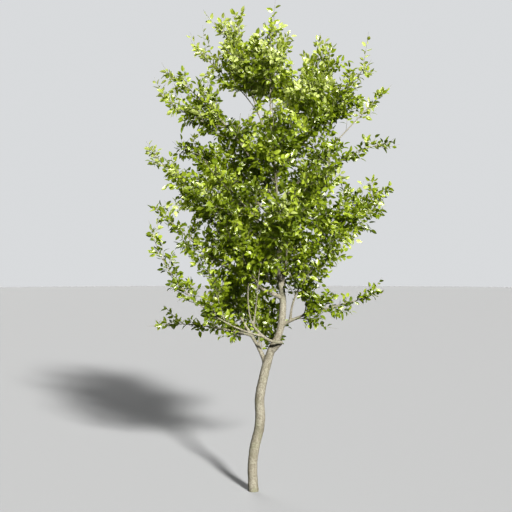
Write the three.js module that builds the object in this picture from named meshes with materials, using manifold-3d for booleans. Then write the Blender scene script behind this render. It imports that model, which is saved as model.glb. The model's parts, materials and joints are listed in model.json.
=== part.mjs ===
// Young cherry tree in full leaf: a winding trunk, forked boughs and open masses of foliage.
// Millimetres, +Z up, +X to the right and +Y to the back.
// The origin is the centre of the trunk's flat cut at ground level.

import * as THREE from "three";
import { mergeVertices } from "three/addons/utils/BufferGeometryUtils.js";
import Module from "manifold-3d";

const wasm = await Module();
wasm.setup();

// Trunk: at each bend its height, its sway to the right and to the back, and its diameter.
// It is drawn from below the ground and cut off flat there.
const TRUNK_BENDS = [
  { height: -60, right: 3, back: -1, diameter: 112 },
  { height: 0, right: 0, back: 0, diameter: 107 },
  { height: 120, right: -7, back: 2, diameter: 100 },
  { height: 280, right: -9, back: 6, diameter: 98 },
  { height: 450, right: 12, back: 8, diameter: 101 },
  { height: 640, right: 58, back: 6, diameter: 103 },
  { height: 790, right: 69, back: 0, diameter: 101 },
  { height: 940, right: 62, back: -6, diameter: 99 },
  { height: 1090, right: 86, back: -10, diameter: 96 },
  { height: 1260, right: 124, back: -8, diameter: 92 },
  { height: 1440, right: 180, back: 0, diameter: 82 },
  { height: 1630, right: 266, back: 14, diameter: 75 },
  { height: 1820, right: 298, back: 20, diameter: 73 },
  { height: 2010, right: 300, back: 16, diameter: 66 },
  { height: 2230, right: 268, back: 4, diameter: 54 },
  { height: 2700, right: 258, back: -14, diameter: 44 },
  { height: 3200, right: 226, back: 2, diameter: 34 },
  { height: 3700, right: 190, back: 26, diameter: 24 },
];

// Limbs. on: the bough a limb grows from, where that isn't the trunk.
// at: the height on the trunk, or the share of that bough's length. tip: right, back and up.
// lifts: how steeply the limb leaves and ends, in degrees.
// turns: compass headings at both ends, where they differ from the straight one (0 right, 90 back).
// bend: how far it holds those headings, as a share of its span, where that isn't the usual one.
// girth: diameter at the foot. end: diameter at the tip, where others grow on from it.
// bare: the share of its length without leaves, which is the bough.
// spread: length of its longest side twigs. leafage: how large its leaf sprays are, where that isn't 1.
const LIMBS = {
  low_back: {
    at: 1300, tip: [-330, 490, 2220], lifts: [62, 66], turns: [140, 112],
    girth: 48, bare: 0.38, spread: 380, leafage: 1.2,
  },
  low_left_back: {
    on: "low_back", at: 0.3, tip: [-1000, 300, 1690], lifts: [14, -4],
    girth: 24, bare: 0.12, spread: 90, leafage: 0.55,
  },
  low_inner: {
    on: "low_back", at: 0.16, tip: [50, 380, 1900], lifts: [40, 50],
    girth: 24, bare: 0.16, spread: 300, leafage: 1.15,
  },
  front_knee: {
    at: 1425, tip: [16, -170, 1693], lifts: [42, 52], turns: [330, 190], bend: 1,
    girth: 44, end: 24, bare: 1, spread: 0,
  },
  left_long: {
    on: "front_knee", at: 0.86, tip: [-1010, -295, 2660], lifts: [14, 74], turns: [192, 176],
    girth: 20, bare: 0.16, spread: 190, leafage: 0.8,
  },
  front_left_upright: {
    on: "front_knee", at: 1, tip: [-30, -350, 2520], lifts: [52, 84], bend: 0.25,
    girth: 21, bare: 0.42, spread: 330,
  },
  front_upright: {
    on: "front_left_upright", at: 0.05, tip: [110, -420, 2560], lifts: [80, 75], turns: [0, 340],
    girth: 17, bare: 0.42, spread: 330,
  },
  left_mid: {
    at: 1985, tip: [-985, -250, 2900], lifts: [22, 42], girth: 38, bare: 0.34, spread: 240, leafage: 0.85,
  },
  left_inner: {
    on: "left_mid", at: 0.15, tip: [-290, -470, 2760], lifts: [58, 52], turns: [215, 246],
    girth: 22, bare: 0.26, spread: 330,
  },
  left_sweep: {
    on: "left_mid", at: 0.27, tip: [-1110, 200, 3530], lifts: [64, 40], girth: 24, bare: 0.26, spread: 330,
  },
  left_upper_back: {
    at: 2740, tip: [-780, 430, 3580], lifts: [46, 20], girth: 30, bare: 0.2, spread: 350, leafage: 1.2,
  },
  left_top_sweep: { at: 2900, tip: [-850, -235, 4250], lifts: [66, 34], girth: 30, bare: 0.33, spread: 420 },
  top_peak: {
    at: 3560, tip: [-200, 110, 4945], lifts: [60, 74], girth: 19, bare: 0.32, spread: 350, leafage: 1.1,
  },
  left_top_upright: {
    on: "top_peak", at: 0.12, tip: [-600, 270, 4610], lifts: [70, 46], turns: [150, 176],
    girth: 15, bare: 0.3, spread: 290, leafage: 0.9,
  },
  top_leader: {
    at: 3700, tip: [170, -155, 4740], lifts: [84, 84], girth: 23, bare: 0.22, spread: 360, leafage: 1.1,
  },
  top_right: {
    at: 3480, tip: [750, 295, 4670], lifts: [46, 62], girth: 21, bare: 0.24, spread: 390, leafage: 1.3,
  },
  right_top: {
    at: 3260, tip: [1120, -270, 4300], lifts: [42, 42], girth: 24, bare: 0.22, spread: 370, leafage: 1.15,
  },
  right_upper: {
    at: 2960, tip: [1400, 305, 4180], lifts: [44, 44], girth: 26, bare: 0.2, spread: 150, leafage: 0.65,
  },
  right_mid_upper: {
    at: 2720, tip: [1320, -340, 3540], lifts: [60, 10], girth: 27, bare: 0.2, spread: 160, leafage: 0.8,
  },
  right_mid: {
    at: 2190, tip: [1440, 225, 3150], lifts: [34, 20], girth: 30, bare: 0.2, spread: 370, leafage: 1.1,
  },
  right_low: {
    at: 1700, tip: [1250, -200, 2045], lifts: [30, 22], girth: 34, bare: 0.2, spread: 150, leafage: 0.75,
  },
  right_inner: {
    on: "right_low", at: 0.1, tip: [825, -295, 2490], lifts: [88, 36], turns: [0, 340],
    girth: 26, bare: 0.22, spread: 260,
  },
  front_low: {
    at: 2040, tip: [330, -930, 2810], lifts: [80, 10], turns: [320, 270], girth: 24, bare: 0.4, spread: 350,
  },
  front_right: { at: 2450, tip: [730, -770, 3210], lifts: [45, 34], girth: 26, bare: 0.22, spread: 340 },
  front_left: { at: 2500, tip: [-400, -850, 3230], lifts: [45, 36], girth: 26, bare: 0.22, spread: 350 },
  front_upper: { at: 2900, tip: [185, -600, 3880], lifts: [46, 62], girth: 23, bare: 0.2, spread: 340 },
  back_low: { at: 2060, tip: [420, 960, 2720], lifts: [44, 26], girth: 30, bare: 0.22, spread: 350 },
  back_left: { at: 2330, tip: [-420, 930, 3050], lifts: [44, 30], girth: 28, bare: 0.22, spread: 350 },
  back_right: { at: 2640, tip: [710, 880, 3400], lifts: [44, 32], girth: 27, bare: 0.22, spread: 340 },
  back_upper: { at: 3060, tip: [300, 780, 4030], lifts: [50, 44], girth: 24, bare: 0.22, spread: 340 },
};

const TIP_DIAMETER = 6;
const BEND_SHARE = 0.36;
const GAP = 0.3; // between a limb and what it grows from
const CUT_GAP = 0.36; // the same at a cut by a faceted limb, whose flats lie inside its round

// Facets
const TRUNK_SIDES = 12;
const TRUNK_STEP = 140;
const BOUGH_SIDES = 5;
const BOUGH_STEP = 130;
const STEM_SIDES = 4;
const STEM_STEP = 190;
const TWIG_SIDES = 3;
const TWIG_STEPS = 1;

// Foliage rule
const SEED = 1863;
const TWIG_SPACING = 144;
const GOLDEN_TURN = 137.5;
const TWIG_TILT = 46; // between a twig and its stem
const TWIG_TAPER = 0.85; // how much shorter the twigs get towards the stem's tip
const TWIG_FOOT_DIAMETER = 6.5;
const TWIG_TIP_DIAMETER = 3.5;
const TWIG_UPTURN = 0.28; // how much a twig turns up from its tilt
const LEAFY_END = 0.75; // from this share of the stem on, leaves grow on the stem itself

// Leaf sprays: each is one folded blade, as long as the spray of leaves it stands for.
const SPRAY_SPACING = 93;
const SPRAY_TILT = 48; // between a spray and its twig
const SPRAY_LENGTH = 280;
const SPRAY_WIDTH = 240;
const SPRAY_TAPER = 0.7; // how much smaller the sprays get towards the stem's tip
const TIP_SPRAY = 0.8; // how much smaller the spray at a tip is
const SPRAY_WIDEST = 0.42; // where the blade is widest, as a share of its length
const SPRAY_FOLD = 12; // how far the blade's edges stand above its keel
const FOLIAGE_CLEARANCE = 2; // between any two pieces that don't grow on each other
const SIMPLIFY = 0.1;

// An opening right through the crown, front to back, as an upright oval.
const OPENING = { right: -150, up: 3970, halfWidth: 165, halfHeight: 190 };

const BARK_COLOUR = 0xb8ad93;
const LEAF_COLOURS = [0x7f9426, 0x93a83a, 0x6b8018];

const UP = new THREE.Vector3(0, 0, 1);
const RIGHT = new THREE.Vector3(1, 0, 0);
const radians = THREE.MathUtils.degToRad;

// Repeatable random numbers from 0 to 1.
function seeded(seed) {
  let state = seed >>> 0;
  return () => {
    state = (state + 0x6d2b79f5) >>> 0;
    let mixed = Math.imul(state ^ (state >>> 15), state | 1);
    mixed ^= mixed + Math.imul(mixed ^ (mixed >>> 7), mixed | 61);
    return ((mixed ^ (mixed >>> 14)) >>> 0) / 4294967296;
  };
}

// A unit vector by compass heading (0 right, 90 back) and steepness, in degrees.
function heading(turn, lift) {
  const flat = Math.cos(radians(lift));
  return new THREE.Vector3(
    flat * Math.cos(radians(turn)),
    flat * Math.sin(radians(turn)),
    Math.sin(radians(lift)),
  );
}

// The vector square to an axis, turned round it from its level side.
function sideOf(axis, turn) {
  const level = new THREE.Vector3().crossVectors(axis, Math.abs(axis.z) > 0.95 ? RIGHT : UP).normalize();
  const over = new THREE.Vector3().crossVectors(level, axis);
  return level.multiplyScalar(Math.cos(radians(turn))).addScaledVector(over, Math.sin(radians(turn)));
}

// A smooth value through the trunk's bends at a height: a cubic between neighbours with averaged slopes.
function trunkValue(height, key) {
  const last = TRUNK_BENDS.length - 1;
  let i = 0;
  while (i < last - 1 && TRUNK_BENDS[i + 1].height < height) i++;
  const slope = (k) => {
    const a = TRUNK_BENDS[Math.max(k - 1, 0)];
    const b = TRUNK_BENDS[Math.min(k + 1, last)];
    return (b[key] - a[key]) / (b.height - a.height);
  };
  const [from, to] = [TRUNK_BENDS[i], TRUNK_BENDS[i + 1]];
  const span = to.height - from.height;
  const t = (height - from.height) / span;
  return (
    from[key] * (1 + 2 * t) * (1 - t) ** 2 +
    to[key] * t * t * (3 - 2 * t) +
    slope(i) * span * t * (1 - t) ** 2 +
    slope(i + 1) * span * t * t * (t - 1)
  );
}

const TRUNK_LOW = TRUNK_BENDS[0].height;
const TRUNK_HIGH = TRUNK_BENDS.at(-1).height;

class TrunkLine extends THREE.Curve {
  getPoint(t, target = new THREE.Vector3()) {
    const height = TRUNK_LOW + t * (TRUNK_HIGH - TRUNK_LOW);
    return target.set(trunkValue(height, "right"), trunkValue(height, "back"), height);
  }
}

// Part of another curve, from one share of its length to another.
class Stretch extends THREE.Curve {
  constructor(whole, from, to) {
    super();
    Object.assign(this, { whole, from, to });
  }
  getPoint(t, target) {
    return this.whole.getPoint(this.from + (this.to - this.from) * t, target);
  }
}

// A closed round limb: a cylinder bent along a curve, with a diameter for each share of its length.
function limbGeometry(curve, diameterAt, sides, steps, extra = 0) {
  const cylinder = new THREE.CylinderGeometry(1, 1, 1, sides, steps);
  const frames = curve.computeFrenetFrames(steps, false);
  const places = Array.from({ length: steps + 1 }, (_, i) => curve.getPointAt(i / steps));
  const position = cylinder.getAttribute("position");
  for (let i = 0; i < position.count; i++) {
    const ring = Math.round((position.getY(i) + 0.5) * steps);
    const radius = diameterAt(ring / steps) / 2 + extra;
    const point = places[ring]
      .clone()
      .addScaledVector(frames.normals[ring], position.getX(i) * radius)
      .addScaledVector(frames.binormals[ring], -position.getZ(i) * radius);
    position.setXYZ(i, point.x, point.y, point.z);
  }
  return cylinder;
}

// A three.js geometry as a solid, and back.
function solidOf(geometry) {
  const plain = new THREE.BufferGeometry().setAttribute("position", geometry.getAttribute("position"));
  plain.setIndex(geometry.index);
  const merged = mergeVertices(plain);
  const vertProperties = merged.getAttribute("position").array;
  const solid = new wasm.Manifold(
    new wasm.Mesh({ numProp: 3, vertProperties, triVerts: new Uint32Array(merged.index.array) }),
  );
  if (solid.volume() > 0) return solid;
  throw new Error("a shape is inside out");
}

function geometryOf(solid) {
  const mesh = solid.getMesh();
  const geometry = new THREE.BufferGeometry();
  geometry.setAttribute("position", new THREE.BufferAttribute(new Float32Array(mesh.vertProperties), 3));
  geometry.setIndex(new THREE.BufferAttribute(mesh.triVerts, 1));
  geometry.computeVertexNormals();
  return geometry;
}

// The largest body of a solid, without small edges.
function largestBody(solid) {
  const bodies = solid.simplify(SIMPLIFY).decompose();
  return bodies.reduce((a, b) => (b.volume() > a.volume() ? b : a));
}

// Trunk
const trunk = {
  line: new TrunkLine(),
  diameterAt: (share) => trunkValue(TRUNK_LOW + share * (TRUNK_HIGH - TRUNK_LOW), "diameter"),
  sides: TRUNK_SIDES,
  from: 0,
  to: 1,
};
trunk.line.arcLengthDivisions = 400;

// The share of the trunk's curve at a height.
const trunkShare = (height) => (height - TRUNK_LOW) / (TRUNK_HIGH - TRUNK_LOW);

// A limb's line from its foot in the parent's axis to its tip, and its taper.
function growLimb(name, spec, limbs) {
  const parent = spec.on ? limbs.get(spec.on) : trunk;
  const share = spec.on ? spec.at : trunkShare(spec.at);
  const foot = parent.line.getPoint(share);
  const goesOn = share === 1;
  if (goesOn) foot.addScaledVector(parent.line.getTangent(1), GAP);
  const tip = new THREE.Vector3(...spec.tip);
  const reach = foot.distanceTo(tip) * (spec.bend ?? BEND_SHARE);
  const straight = THREE.MathUtils.radToDeg(Math.atan2(tip.y - foot.y, tip.x - foot.x));
  const [leave, arrive] = spec.turns ?? [straight, straight];
  const first = goesOn ? parent.line.getTangent(1) : heading(leave, spec.lifts[0]);
  const last = heading(arrive, spec.lifts[1]);
  const line = new THREE.CubicBezierCurve3(
    foot,
    foot.clone().addScaledVector(first, reach),
    tip.clone().addScaledVector(last, -reach),
    tip,
  );
  const end = spec.end ?? TIP_DIAMETER;
  const diameterAt = (s) => spec.girth + (end - spec.girth) * s ** 0.8;
  return { ...spec, name, parent, goesOn, line, diameterAt, sides: BOUGH_SIDES, from: 0, to: spec.bare };
}

const limbs = new Map();
for (const [name, spec] of Object.entries(LIMBS)) limbs.set(name, growLimb(name, spec, limbs));

// The solid of a limb's bare wood, or of that wood grown by a clearance.
function woodSolid(limb, step, extra = 0) {
  const curve = new Stretch(limb.line, limb.from, limb.to);
  const steps = Math.max(2, Math.round(curve.getLength() / step));
  const lengthShare = (s) => limb.from + (limb.to - limb.from) * curve.getUtoTmapping(s);
  return solidOf(limbGeometry(curve, (s) => limb.diameterAt(lengthShare(s)), limb.sides, steps, extra));
}

const trunkSolid = woodSolid(trunk, TRUNK_STEP).trimByPlane([0, 0, 1], 0);
const boughSolids = new Map();
for (const limb of limbs.values()) {
  let solid = woodSolid(limb, BOUGH_STEP);
  if (!limb.goesOn) {
    const step = limb.parent === trunk ? TRUNK_STEP : BOUGH_STEP;
    solid = largestBody(solid.subtract(woodSolid(limb.parent, step, CUT_GAP)));
  }
  boughSolids.set(limb.name, solid);
}

// Pieces drawn so far, each with its box.
const drawn = [];
function boxOf(solid) {
  const { min, max } = solid.boundingBox();
  return new THREE.Box3(new THREE.Vector3(...min), new THREE.Vector3(...max));
}
function draw(solid) {
  drawn.push({ solid, box: boxOf(solid) });
  return solid;
}
[trunkSolid, ...boughSolids.values()].forEach(draw);

// True where a piece keeps clear of all that is drawn, but for what it grows on, and of the opening.
function hasRoom(piece, growsOn) {
  const box = boxOf(piece);
  const middle = box.getCenter(new THREE.Vector3());
  const across = (middle.x - OPENING.right) / OPENING.halfWidth;
  const up = (middle.z - OPENING.up) / OPENING.halfHeight;
  if (across * across + up * up < 1) return false;
  box.expandByScalar(FOLIAGE_CLEARANCE);
  return drawn.every(
    (other) =>
      other.solid === growsOn ||
      !box.intersectsBox(other.box) ||
      piece.minGap(other.solid, FOLIAGE_CLEARANCE) >= FOLIAGE_CLEARANCE,
  );
}

// Masses of foliage: each goes on from its bough's tip, by GAP, along the limb's own line.
const masses = [...limbs.values()]
  .filter((limb) => limb.bare < 1)
  .map((limb, index) => {
    const from = limb.bare + GAP / limb.line.getLength();
    const line = new Stretch(limb.line, from, 1);
    const stem = draw(woodSolid({ ...limb, from, to: 1, sides: STEM_SIDES }, STEM_STEP));
    return { limb, line, stem, random: seeded(SEED + index), pieces: [stem] };
  });

// A direction off an axis, by a tilt from it and a turn round it, in degrees.
function offAxis(along, tilt, turn) {
  const direction = along.clone().multiplyScalar(Math.cos(radians(tilt)));
  return direction.addScaledVector(sideOf(along, turn), Math.sin(radians(tilt))).normalize();
}

// How large the leaf sprays are at a share of a limb's leafy length.
const vigourAt = ({ leafage = 1 }, share) => leafage * (1 - SPRAY_TAPER * share * share);

// Twigs by the seeded rule: spaced along the stem, each turned by the golden angle from the last.
function growTwigs({ limb, line, random }) {
  const count = Math.max(3, Math.round(line.getLength() / TWIG_SPACING));
  return Array.from({ length: count }, (_, i) => {
    const share = (i + 0.7) / (count + 0.4);
    const turn = i * GOLDEN_TURN + 50 * (random() - 0.5);
    const tilt = TWIG_TILT + 24 * (random() - 0.5);
    const length = limb.spread * (1 - TWIG_TAPER * share) * (0.75 + 0.5 * random());
    const foot = line.getPoint(share);
    const direction = offAxis(line.getTangent(share), tilt, turn);
    direction.addScaledVector(UP, TWIG_UPTURN).normalize();
    const twig = new THREE.LineCurve3(foot, foot.clone().addScaledVector(direction, length));
    return Object.assign(twig, { vigour: vigourAt(limb, share) });
  });
}

// Leaf sprays by the same rule: alternate along a twig, and one at its tip.
function growSprays(line, vigour, random) {
  const count = Math.max(1, Math.round(line.getLength() / SPRAY_SPACING));
  return Array.from({ length: count + 1 }, (_, i) => {
    const atTip = i === count;
    const share = atTip ? 0.96 : (i + 0.75) / (count + 0.25);
    const turn = (i % 2 ? 180 : 0) + 60 * (random() - 0.5);
    const tilt = (atTip ? 0 : SPRAY_TILT) + 30 * (random() - 0.5);
    const size = vigour * (atTip ? TIP_SPRAY : 1) * (0.8 + 0.4 * random());
    const roll = 180 * (random() - 0.5);
    const direction = offAxis(line.getTangent(share), tilt, turn);
    return { foot: line.getPoint(share), direction, face: sideOf(direction, 90 + roll), size };
  });
}

// A leaf spray as one blade of four faces, folded up along its keel, with its edges' span closing the top.
function sprayGeometry({ foot, direction, face, size }) {
  const across = new THREE.Vector3().crossVectors(face, direction);
  const at = (length, side, lift) =>
    foot
      .clone()
      .addScaledVector(direction, length * SPRAY_LENGTH * size)
      .addScaledVector(across, (side * SPRAY_WIDTH * size) / 2)
      .addScaledVector(face, lift);
  const root = at(0, 0, 0);
  const tip = at(1, 0, 0);
  const left = at(SPRAY_WIDEST, 1, SPRAY_FOLD);
  const right = at(SPRAY_WIDEST, -1, SPRAY_FOLD);
  const top = [root, right, left, left, right, tip];
  const underside = [root, left, tip, root, tip, right];
  return new THREE.BufferGeometry().setFromPoints([...top, ...underside]);
}

// Adds the leaf sprays that have room along a twig or a stem's end.
function addSprays(mass, line, vigour, wood, random) {
  for (const spray of growSprays(line, vigour, random)) {
    const blade = solidOf(sprayGeometry(spray));
    if (hasRoom(blade, wood)) mass.pieces.push(draw(blade));
  }
}

// The leaves at the stems' ends come first, then twig after twig, each mass in turn.
for (const mass of masses) {
  mass.twigs = growTwigs(mass);
  addSprays(mass, new Stretch(mass.line, LEAFY_END, 1), vigourAt(mass.limb, 1), mass.stem, mass.random);
}
const twigTaper = (s) => TWIG_FOOT_DIAMETER + (TWIG_TIP_DIAMETER - TWIG_FOOT_DIAMETER) * s;
for (let i = 0; i < Math.max(...masses.map((mass) => mass.twigs.length)); i++) {
  for (const mass of masses.filter(({ twigs }) => i < twigs.length)) {
    const random = seeded(Math.floor(mass.random() * 4294967296));
    const twig = solidOf(limbGeometry(mass.twigs[i], twigTaper, TWIG_SIDES, TWIG_STEPS));
    if (!hasRoom(twig, mass.stem)) continue;
    mass.pieces.push(draw(twig));
    addSprays(mass, mass.twigs[i], mass.twigs[i].vigour, twig, random);
  }
}

// Assembly
const tree = new THREE.Group();
tree.name = "cherry_tree";
const bark = new THREE.MeshStandardMaterial({ color: BARK_COLOUR, roughness: 0.85 });
const leaves = LEAF_COLOURS.map((color) => new THREE.MeshStandardMaterial({ color, roughness: 0.5 }));

function addMesh(name, solid, material) {
  const mesh = new THREE.Mesh(geometryOf(solid), material);
  mesh.name = name;
  tree.add(mesh);
}

addMesh("trunk", trunkSolid, bark);
for (const [name, solid] of boughSolids) addMesh("bough_" + name, solid, bark);
for (const [index, mass] of masses.entries()) {
  const fused = largestBody(wasm.Manifold.union(mass.pieces));
  addMesh("foliage_" + mass.limb.name, fused, leaves[index % leaves.length]);
}

export default tree;
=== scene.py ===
# Young cherry tree in full leaf: bark with its relief, twigs, and single leaves in sprays.
# Limbs, twigs and sprays grow by the same seeded rule as the solids, carried on to finer twigs and leaves.

import json
import math
from collections import namedtuple

import bmesh
import bpy
from mathutils import Matrix, Vector, noise
from mathutils.kdtree import KDTree

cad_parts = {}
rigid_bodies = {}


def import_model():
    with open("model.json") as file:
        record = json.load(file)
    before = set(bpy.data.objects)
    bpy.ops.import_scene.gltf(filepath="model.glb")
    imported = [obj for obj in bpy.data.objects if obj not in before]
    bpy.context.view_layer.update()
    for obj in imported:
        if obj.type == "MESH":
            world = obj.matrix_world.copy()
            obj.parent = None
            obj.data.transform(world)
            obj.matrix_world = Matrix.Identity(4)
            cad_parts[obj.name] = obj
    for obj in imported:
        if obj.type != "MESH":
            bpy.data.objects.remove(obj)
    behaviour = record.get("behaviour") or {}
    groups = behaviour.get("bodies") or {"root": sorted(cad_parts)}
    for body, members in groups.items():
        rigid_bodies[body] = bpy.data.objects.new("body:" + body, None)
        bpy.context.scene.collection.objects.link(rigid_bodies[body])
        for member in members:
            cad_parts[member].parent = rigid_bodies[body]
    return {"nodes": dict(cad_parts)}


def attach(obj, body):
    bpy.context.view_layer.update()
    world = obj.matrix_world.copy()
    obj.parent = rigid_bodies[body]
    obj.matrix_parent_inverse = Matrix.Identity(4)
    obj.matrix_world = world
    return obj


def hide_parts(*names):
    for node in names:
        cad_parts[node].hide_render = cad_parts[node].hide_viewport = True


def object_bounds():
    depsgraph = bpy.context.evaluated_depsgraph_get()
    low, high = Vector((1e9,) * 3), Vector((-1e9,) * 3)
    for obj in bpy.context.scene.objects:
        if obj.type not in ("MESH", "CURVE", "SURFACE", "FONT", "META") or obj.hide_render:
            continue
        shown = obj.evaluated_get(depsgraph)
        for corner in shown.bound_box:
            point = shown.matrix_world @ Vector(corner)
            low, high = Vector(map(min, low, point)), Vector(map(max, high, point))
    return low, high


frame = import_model()
cad_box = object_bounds()

# Growth is worked out in millimetres, and meshes are in metres.
MM = 0.001

# Trunk: at each bend its height, its sway to the right and to the back, and its diameter.
TRUNK_BENDS = [
    (-60, 3, -1, 112),
    (0, 0, 0, 107),
    (120, -7, 2, 100),
    (280, -9, 6, 98),
    (450, 12, 8, 101),
    (640, 58, 6, 103),
    (790, 69, 0, 101),
    (940, 62, -6, 99),
    (1090, 86, -10, 96),
    (1260, 124, -8, 92),
    (1440, 180, 0, 82),
    (1630, 266, 14, 75),
    (1820, 298, 20, 73),
    (2010, 300, 16, 66),
    (2230, 268, 4, 54),
    (2700, 258, -14, 44),
    (3200, 226, 2, 34),
    (3700, 190, 26, 24),
]
HEIGHT, RIGHT_SWAY, BACK_SWAY, DIAMETER = range(4)

# Limbs. at: the height on the trunk, or the share of the bough that a limb grows on.
# tip: right, back and up. lifts: how steeply the limb leaves and ends, in degrees.
# girth: its diameter at the foot. bare: the share of it without leaves. spread: its longest side twigs.
# on: the bough it grows from, where that isn't the trunk.
# turns: compass headings at both ends, where they differ from the straight one (0 right, 90 back).
# bend: how far it holds those headings, as a share of its span, where that isn't the usual one.
# end: its diameter at the tip, where others grow on from it.
# leafage: how large its leaf sprays are, where that isn't 1.


def spec(at, tip, lifts, girth, bare, spread, **more):
    return dict(at=at, tip=tip, lifts=lifts, girth=girth, bare=bare, spread=spread, **more)


LIMBS = {
    "low_back": spec(1300, (-330, 490, 2220), (62, 66), 48, 0.38, 380, turns=(140, 112), leafage=1.2),
    "low_left_back": spec(0.3, (-1000, 300, 1690), (14, -4), 24, 0.12, 90, on="low_back", leafage=0.55),
    "low_inner": spec(0.16, (50, 380, 1900), (40, 50), 24, 0.16, 300, on="low_back", leafage=1.15),
    "front_knee": spec(1425, (16, -170, 1693), (42, 52), 44, 1, 0, turns=(330, 190), bend=1, end=24),
    "left_long": spec(
        0.86, (-1010, -295, 2660), (14, 74), 20, 0.16, 190, on="front_knee", turns=(192, 176), leafage=0.8
    ),
    "front_left_upright": spec(1, (-30, -350, 2520), (52, 84), 21, 0.42, 330, on="front_knee", bend=0.25),
    "front_upright": spec(
        0.05, (110, -420, 2560), (80, 75), 17, 0.42, 330, on="front_left_upright", turns=(0, 340)
    ),
    "left_mid": spec(1985, (-985, -250, 2900), (22, 42), 38, 0.34, 240, leafage=0.85),
    "left_inner": spec(0.15, (-290, -470, 2760), (58, 52), 22, 0.26, 330, on="left_mid", turns=(215, 246)),
    "left_sweep": spec(0.27, (-1110, 200, 3530), (64, 40), 24, 0.26, 330, on="left_mid"),
    "left_upper_back": spec(2740, (-780, 430, 3580), (46, 20), 30, 0.2, 350, leafage=1.2),
    "left_top_sweep": spec(2900, (-850, -235, 4250), (66, 34), 30, 0.33, 420),
    "top_peak": spec(3560, (-200, 110, 4945), (60, 74), 19, 0.32, 350, leafage=1.1),
    "left_top_upright": spec(
        0.12, (-600, 270, 4610), (70, 46), 15, 0.3, 290, on="top_peak", turns=(150, 176), leafage=0.9
    ),
    "top_leader": spec(3700, (170, -155, 4740), (84, 84), 23, 0.22, 360, leafage=1.1),
    "top_right": spec(3480, (750, 295, 4670), (46, 62), 21, 0.24, 390, leafage=1.3),
    "right_top": spec(3260, (1120, -270, 4300), (42, 42), 24, 0.22, 370, leafage=1.15),
    "right_upper": spec(2960, (1400, 305, 4180), (44, 44), 26, 0.2, 150, leafage=0.65),
    "right_mid_upper": spec(2720, (1320, -340, 3540), (60, 10), 27, 0.2, 160, leafage=0.8),
    "right_mid": spec(2190, (1440, 225, 3150), (34, 20), 30, 0.2, 370, leafage=1.1),
    "right_low": spec(1700, (1250, -200, 2045), (30, 22), 34, 0.2, 150, leafage=0.75),
    "right_inner": spec(0.1, (825, -295, 2490), (88, 36), 26, 0.22, 260, on="right_low", turns=(0, 340)),
    "front_low": spec(2040, (330, -930, 2810), (80, 10), 24, 0.4, 350, turns=(320, 270)),
    "front_right": spec(2450, (730, -770, 3210), (45, 34), 26, 0.22, 340),
    "front_left": spec(2500, (-400, -850, 3230), (45, 36), 26, 0.22, 350),
    "front_upper": spec(2900, (185, -600, 3880), (46, 62), 23, 0.2, 340),
    "back_low": spec(2060, (420, 960, 2720), (44, 26), 30, 0.22, 350),
    "back_left": spec(2330, (-420, 930, 3050), (44, 30), 28, 0.22, 350),
    "back_right": spec(2640, (710, 880, 3400), (44, 32), 27, 0.22, 340),
    "back_upper": spec(3060, (300, 780, 4030), (50, 44), 24, 0.22, 340),
}
TIP_DIAMETER = 6
BEND_SHARE = 0.36
LIMB_TAPER = 0.8  # under 1, so that a limb thins faster near its foot

# Foliage rule, as for the solids
SEED = 1863
TWIG_SPACING = 144
GOLDEN_TURN = 137.5
TWIG_TILT = 46
TWIG_TAPER = 0.85
TWIG_UPTURN = 0.28
TWIG_FOOT_DIAMETER = 7
TWIG_TIP_DIAMETER = 3.2
LEAFY_END = 0.75
SPRAY_SPACING = 93
SPRAY_TILT = 48
SPRAY_LENGTH = 280
SPRAY_TAPER = 0.7
TIP_SPRAY = 0.8
TIP_SPRAY_AT = 0.96

# Openings, as upright ovals free of leaves: sky through and beside the crown, and gaps in front of stems.
# Each oval: right and up of its middle, half its width and height, and how far back it reaches.
OPENINGS = [
    (-150, 3970, 165, 190, 1000),
    (175, 4000, 52, 200, -50),
    (450, 1910, 90, 150, -60),
    (290, 2130, 62, 140, -30),
    (980, 3730, 190, 95, 1000),
    (930, 2150, 210, 120, 1000),
    (930, 1600, 230, 120, 1000),
    (-700, 1870, 190, 95, 1000),
    (-980, 3040, 160, 70, 1000),
    (455, 4480, 62, 190, 1000),
]
FELT_AT = 0.7  # where on a twig, a stalk or a whip it has to be clear of them

# Finer growth: closer twigs, stalks of the sprays, single leaves, slim whips and bare ends.
# Shares are of a line's length, where no other measure is named.
FINE_SEED = 71203
FINE_TWIG_SPACING = 95
FINE_SPREAD = 0.9  # the length of the closer twigs, as a share of the others'
FINE_REACH = 0.62  # how far along a stem they stand
TWIG_SWEEP = 0.07  # how far a twig hangs below its straight line before it turns up
STALK_BOW = 0.08  # how far a stalk bows off its straight line
STALK_RISE = 0.7  # how much of that bow is upwards
STALK_LEAST = 0.35  # the shortest stalk, as a share of its spray
LEAF_LENGTH = 60
LEAF_WIDTH = 34
LEAF_STALK = 11
SMALLEST_LEAF, LEAF_VARIETY = 0.78, 0.44  # as shares of those measures
LEAF_SPACING = 25
LEAF_TILT = 58  # between a leaf and its stalk
LEAF_DROOP = 0.12
SHOOT_SPACING = 72
SHOOT_REACH = 0.75  # how far along a spray its side shoots stand
SHOOT_LENGTH = 0.78  # the length of the first one, as a share of the spray's
SHOOT_TAPER = 0.4
SHOOT_UPTURN = 0.6  # as a share of a twig's
TWIG_LEAF_SPACING = 38
TWIG_LEAVES = (0.15, 1)  # from where to where it has leaves
WOOD_CLEARANCE = 14
WHIPS_PER_STEM = 4
WHIP_FROM = 0.4  # where on a stem the whips begin
WHIP_LENGTH = 300
WHIP_TILT = 32  # between a whip and its stem
WHIP_LEAF_SPACING = 28
WHIP_LEAVES = (0.1, 0.85)
BARE_END = 140  # the longest bare end of a stem
BARE_TWIG_END = 0.7  # a twig's bare end, as a share of that
BARE_TWIG_SHARE = 0.3  # the share of the twigs that have a bare end too
BARE_UPTURN = 0.15
BARE_STRAY = 0.3  # how far it strays from the line it goes on from

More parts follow.
